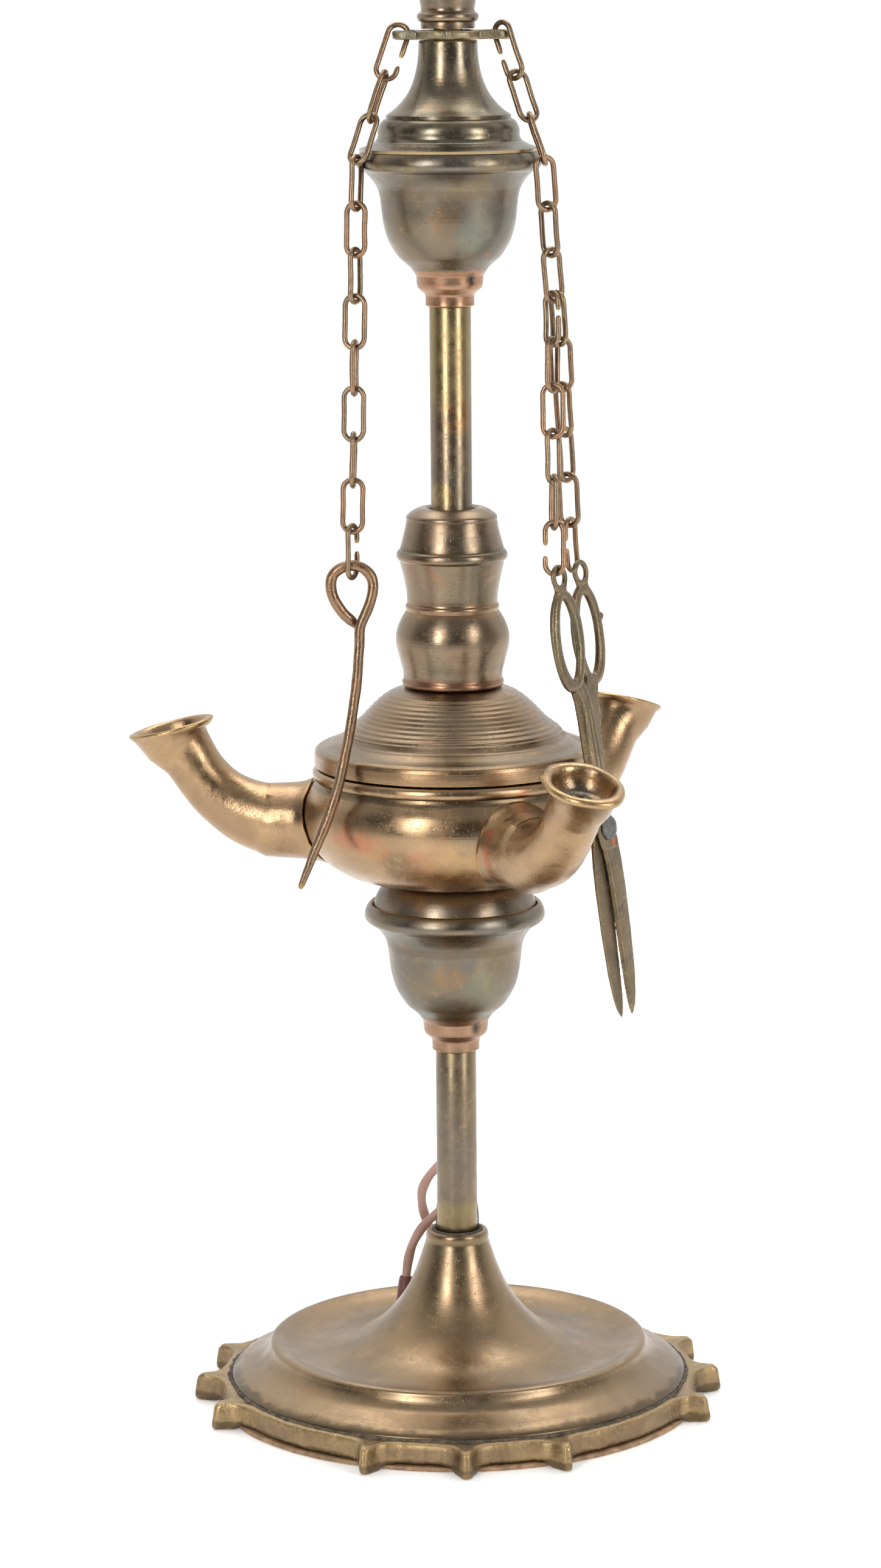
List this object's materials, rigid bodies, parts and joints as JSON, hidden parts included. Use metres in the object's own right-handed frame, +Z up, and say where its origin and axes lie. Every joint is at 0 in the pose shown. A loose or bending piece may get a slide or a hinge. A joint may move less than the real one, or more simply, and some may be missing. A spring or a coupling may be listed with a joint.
{
  "type": "standing oil lamp",
  "caption": "Tall brass table oil lamp with three upturned spouts on a sliding font, chained pick and scissors, wired for electric light.",
  "frame": {"origin": "middle of the underside of the foot disc, on the axis of the stem", "axes": "+Z up the stem, -Y to the side the picture was taken from, +X to the side the scissors hang on"},
  "size_m": [0.2033, 0.3198, 0.543],
  "materials": {
    "brass": "aged, softly polished",
    "cast": "cast, rubbed",
    "dark": "dark and greenish",
    "copperwire": "copper-brown wire",
    "steel": "plain",
    "fibre": "plain",
    "flex": "ribbed, twisted",
    "plug": "satin",
    "sleeve": "satin",
    "porcelain": "glazed"
  },
  "bodies": {
    "stem": {"foot_disc": "fibre", "toothed_foot": "cast", "base_dish": "brass", "base_nut": "steel", "tie_rod": "steel", "lower_tube": "brass", "lower_cup": "brass", "lower_cup_disc": "brass", "upper_tube": "brass", "upper_cup": "brass", "upper_bell": "brass", "top_spool": "brass", "lampholder_shell": "brass", "lampholder_insert": "porcelain", "cord_sleeve": "sleeve", "flex_cord": "flex", "flex_hank": "flex", "plug": "plug"},
    "font_guide": {"font_sleeve": "brass"},
    "font": {"font_bowl": "brass", "font_lid": "brass", "font_neck": "brass", "spout_left": "cast", "spout_front": "cast", "spout_rear": "cast"},
    "chain_bar": {"chain_bar": "dark"},
    "left_link_1": {"left_link_1": "copperwire"},
    "left_link_2": {"left_link_2": "copperwire"},
    "left_link_3": {"left_link_3": "copperwire"},
    "left_link_4": {"left_link_4": "copperwire"},
    "left_link_5": {"left_link_5": "copperwire"},
    "left_link_6": {"left_link_6": "copperwire"},
    "left_link_7": {"left_link_7": "copperwire"},
    "left_link_8": {"left_link_8": "copperwire"},
    "left_link_9": {"left_link_9": "copperwire"},
    "left_link_10": {"left_link_10": "copperwire"},
    "left_link_11": {"left_link_11": "copperwire"},
    "left_link_12": {"left_link_12": "copperwire"},
    "pick": {"pick": "copperwire"},
    "right_link_1": {"right_link_1": "copperwire"},
    "right_link_2": {"right_link_2": "copperwire"},
    "right_link_3": {"right_link_3": "copperwire"},
    "right_link_4": {"right_link_4": "copperwire"},
    "right_link_5": {"right_link_5": "copperwire"},
    "right_link_6": {"right_link_6": "copperwire"},
    "fork_a_link_1": {"fork_a_link_1": "copperwire"},
    "fork_a_link_2": {"fork_a_link_2": "copperwire"},
    "fork_a_link_3": {"fork_a_link_3": "copperwire"},
    "fork_a_link_4": {"fork_a_link_4": "copperwire"},
    "fork_a_link_5": {"fork_a_link_5": "copperwire"},
    "fork_a_link_6": {"fork_a_link_6": "copperwire"},
    "fork_b_link_1": {"fork_b_link_1": "copperwire"},
    "fork_b_link_2": {"fork_b_link_2": "copperwire"},
    "fork_b_link_3": {"fork_b_link_3": "copperwire"},
    "fork_b_link_4": {"fork_b_link_4": "copperwire"},
    "fork_b_link_5": {"fork_b_link_5": "copperwire"},
    "fork_b_link_6": {"fork_b_link_6": "copperwire"},
    "scissors_half_a": {"scissors_half_a": "dark", "scissors_screw": "steel"},
    "scissors_half_b": {"scissors_half_b": "dark"}
  },
  "joints": [
    {"name": "font_slide", "type": "slide", "parent": "stem", "child": "font_guide", "axis": [0, 0, 1], "range_m": [0, 0.008]},
    {"name": "font_turn", "type": "hinge", "parent": "font_guide", "child": "font", "pos_m": [0, 0, 0.21], "axis": [0, 0, 1], "range_deg": [-24, 15]},
    {"name": "chain_bar_turn", "type": "hinge", "parent": "stem", "child": "chain_bar", "pos_m": [0, 0, 0.4715], "axis": [0, 0, 1], "range_deg": [-12, 12]},
    {"name": "left_link_1_hinge", "type": "hinge", "parent": "chain_bar", "child": "left_link_1", "pos_m": [-0.017, 0, 0.4722], "axis": [-0.9976, 0.0698, 0], "range_deg": [0, 6]},
    {"name": "left_link_2_hinge", "type": "hinge", "parent": "left_link_1", "child": "left_link_2", "pos_m": [-0.02122, -0.00553, 0.45835], "axis": [0.0698, 0.9976, 0], "range_deg": [0, 16]},
    {"name": "left_link_3_hinge", "type": "hinge", "parent": "left_link_2", "child": "left_link_3", "pos_m": [-0.02592, -0.01042, 0.44469], "axis": [-0.9976, 0.0698, 0], "range_deg": [0, 16]},
    {"name": "left_link_4_hinge", "type": "hinge", "parent": "left_link_3", "child": "left_link_4", "pos_m": [-0.03062, -0.01532, 0.43104], "axis": [0.0698, 0.9976, 0], "range_deg": [0, 16]},
    {"name": "left_link_5_hinge", "type": "hinge", "parent": "left_link_4", "child": "left_link_5", "pos_m": [-0.03093, -0.0167, 0.41585], "axis": [-0.9976, 0.0698, 0], "range_deg": [0, 16]},
    {"name": "left_link_6_hinge", "type": "hinge", "parent": "left_link_5", "child": "left_link_6", "pos_m": [-0.03124, -0.01809, 0.40067], "axis": [0.0698, 0.9976, 0], "range_deg": [0, 16]},
    {"name": "left_link_7_hinge", "type": "hinge", "parent": "left_link_6", "child": "left_link_7", "pos_m": [-0.03155, -0.01948, 0.38548], "axis": [-0.9976, 0.0698, 0], "range_deg": [0, 16]},
    {"name": "left_link_8_hinge", "type": "hinge", "parent": "left_link_7", "child": "left_link_8", "pos_m": [-0.03186, -0.02087, 0.3703], "axis": [0.0698, 0.9976, 0], "range_deg": [0, 16]},
    {"name": "left_link_9_hinge", "type": "hinge", "parent": "left_link_8", "child": "left_link_9", "pos_m": [-0.03217, -0.02226, 0.35512], "axis": [-0.9976, 0.0698, 0], "range_deg": [0, 16]},
    {"name": "left_link_10_hinge", "type": "hinge", "parent": "left_link_9", "child": "left_link_10", "pos_m": [-0.03247, -0.02365, 0.33993], "axis": [0.0698, 0.9976, 0], "range_deg": [0, 16]},
    {"name": "left_link_11_hinge", "type": "hinge", "parent": "left_link_10", "child": "left_link_11", "pos_m": [-0.03278, -0.02503, 0.32475], "axis": [-0.9976, 0.0698, 0], "range_deg": [0, 16]},
    {"name": "left_link_12_hinge", "type": "hinge", "parent": "left_link_11", "child": "left_link_12", "pos_m": [-0.03309, -0.02642, 0.30957], "axis": [0.0698, 0.9976, 0], "range_deg": [0, 16]},
    {"name": "pick_hinge", "type": "hinge", "parent": "left_link_12", "child": "pick", "pos_m": [-0.0334, -0.02781, 0.29438], "axis": [-0.6561, 0.7547, 0], "range_deg": [0, 14]},
    {"name": "right_link_1_hinge", "type": "hinge", "parent": "chain_bar", "child": "right_link_1", "pos_m": [0.0184, -0.002, 0.4715], "axis": [-0.9205, -0.3907, 0], "range_deg": [0, 16]},
    {"name": "right_link_2_hinge", "type": "hinge", "parent": "right_link_1", "child": "right_link_2", "pos_m": [0.02253, -0.00591, 0.45836], "axis": [0.3907, -0.9205, 0], "range_deg": [0, 16]},
    {"name": "right_link_3_hinge", "type": "hinge", "parent": "right_link_2", "child": "right_link_3", "pos_m": [0.02707, -0.00989, 0.44435], "axis": [-0.9205, -0.3907, 0], "range_deg": [0, 16]},
    {"name": "right_link_4_hinge", "type": "hinge", "parent": "right_link_3", "child": "right_link_4", "pos_m": [0.0316, -0.01387, 0.43035], "axis": [0.3907, -0.9205, 0], "range_deg": [0, 16]},
    {"name": "right_link_5_hinge", "type": "hinge", "parent": "right_link_4", "child": "right_link_5", "pos_m": [0.03268, -0.01359, 0.41514], "axis": [-0.9205, -0.3907, 0], "range_deg": [0, 16]},
    {"name": "right_link_6_hinge", "type": "hinge", "parent": "right_link_5", "child": "right_link_6", "pos_m": [0.03377, -0.0133, 0.39993], "axis": [0.3907, -0.9205, 0], "range_deg": [0, 16]},
    {"name": "fork_a_link_1_hinge", "type": "hinge", "parent": "right_link_6", "child": "fork_a_link_1", "pos_m": [0.03396, -0.01371, 0.38547], "axis": [-0.5501, -0.8351, 0], "range_deg": [0, 12]},
    {"name": "fork_a_link_2_hinge", "type": "hinge", "parent": "fork_a_link_1", "child": "fork_a_link_2", "pos_m": [0.034, -0.01617, 0.37042], "axis": [-0.5501, -0.8351, 0], "range_deg": [0, 12]},
    {"name": "fork_a_link_3_hinge", "type": "hinge", "parent": "fork_a_link_2", "child": "fork_a_link_3", "pos_m": [0.03404, -0.01863, 0.35537], "axis": [-0.5501, -0.8351, 0], "range_deg": [0, 12]},
    {"name": "fork_a_link_4_hinge", "type": "hinge", "parent": "fork_a_link_3", "child": "fork_a_link_4", "pos_m": [0.03408, -0.02109, 0.34032], "axis": [-0.5501, -0.8351, 0], "range_deg": [0, 12]},
    {"name": "fork_a_link_5_hinge", "type": "hinge", "parent": "fork_a_link_4", "child": "fork_a_link_5", "pos_m": [0.03412, -0.02355, 0.32527], "axis": [-0.5501, -0.8351, 0], "range_deg": [0, 12]},
    {"name": "fork_a_link_6_hinge", "type": "hinge", "parent": "fork_a_link_5", "child": "fork_a_link_6", "pos_m": [0.03416, -0.02601, 0.31022], "axis": [-0.5501, -0.8351, 0], "range_deg": [0, 12]},
    {"name": "fork_b_link_1_hinge", "type": "hinge", "parent": "right_link_6", "child": "fork_b_link_1", "pos_m": [0.03573, -0.01232, 0.38547], "axis": [-0.5501, -0.8351, 0], "range_deg": [0, 12]},
    {"name": "fork_b_link_2_hinge", "type": "hinge", "parent": "fork_b_link_1", "child": "fork_b_link_2", "pos_m": [0.03655, -0.01213, 0.37025], "axis": [-0.5501, -0.8351, 0], "range_deg": [-4, 0]},
    {"name": "fork_b_link_3_hinge", "type": "hinge", "parent": "fork_b_link_2", "child": "fork_b_link_3", "pos_m": [0.03737, -0.01193, 0.35502], "axis": [-0.5501, -0.8351, 0], "range_deg": [-4, 0]},
    {"name": "fork_b_link_4_hinge", "type": "hinge", "parent": "fork_b_link_3", "child": "fork_b_link_4", "pos_m": [0.03819, -0.01173, 0.33979], "axis": [-0.5501, -0.8351, 0], "range_deg": [-4, 0]},
    {"name": "fork_b_link_5_hinge", "type": "hinge", "parent": "fork_b_link_4", "child": "fork_b_link_5", "pos_m": [0.03901, -0.01154, 0.32457], "axis": [-0.5501, -0.8351, 0], "range_deg": [-4, 0]},
    {"name": "fork_b_link_6_hinge", "type": "hinge", "parent": "fork_b_link_5", "child": "fork_b_link_6", "pos_m": [0.03982, -0.01134, 0.30934], "axis": [-0.5501, -0.8351, 0], "range_deg": [-4, 0]},
    {"name": "scissors_hinge", "type": "hinge", "parent": "fork_a_link_6", "child": "scissors_half_a", "pos_m": [0.0342, -0.02847, 0.29517], "axis": [-0.5501, -0.8351, 0], "range_deg": [0, 30]},
    {"name": "scissors_open", "type": "hinge", "parent": "scissors_half_a", "child": "scissors_half_b", "pos_m": [0.05007, -0.02815, 0.20767], "axis": [-0.8259, 0.544, -0.1478], "range_deg": [0, 30]}
  ],
  "couplings": [
    {"joint": "fork_b_link_1_hinge", "follows": "fork_a_link_1_hinge", "ratio": 1}
  ]
}
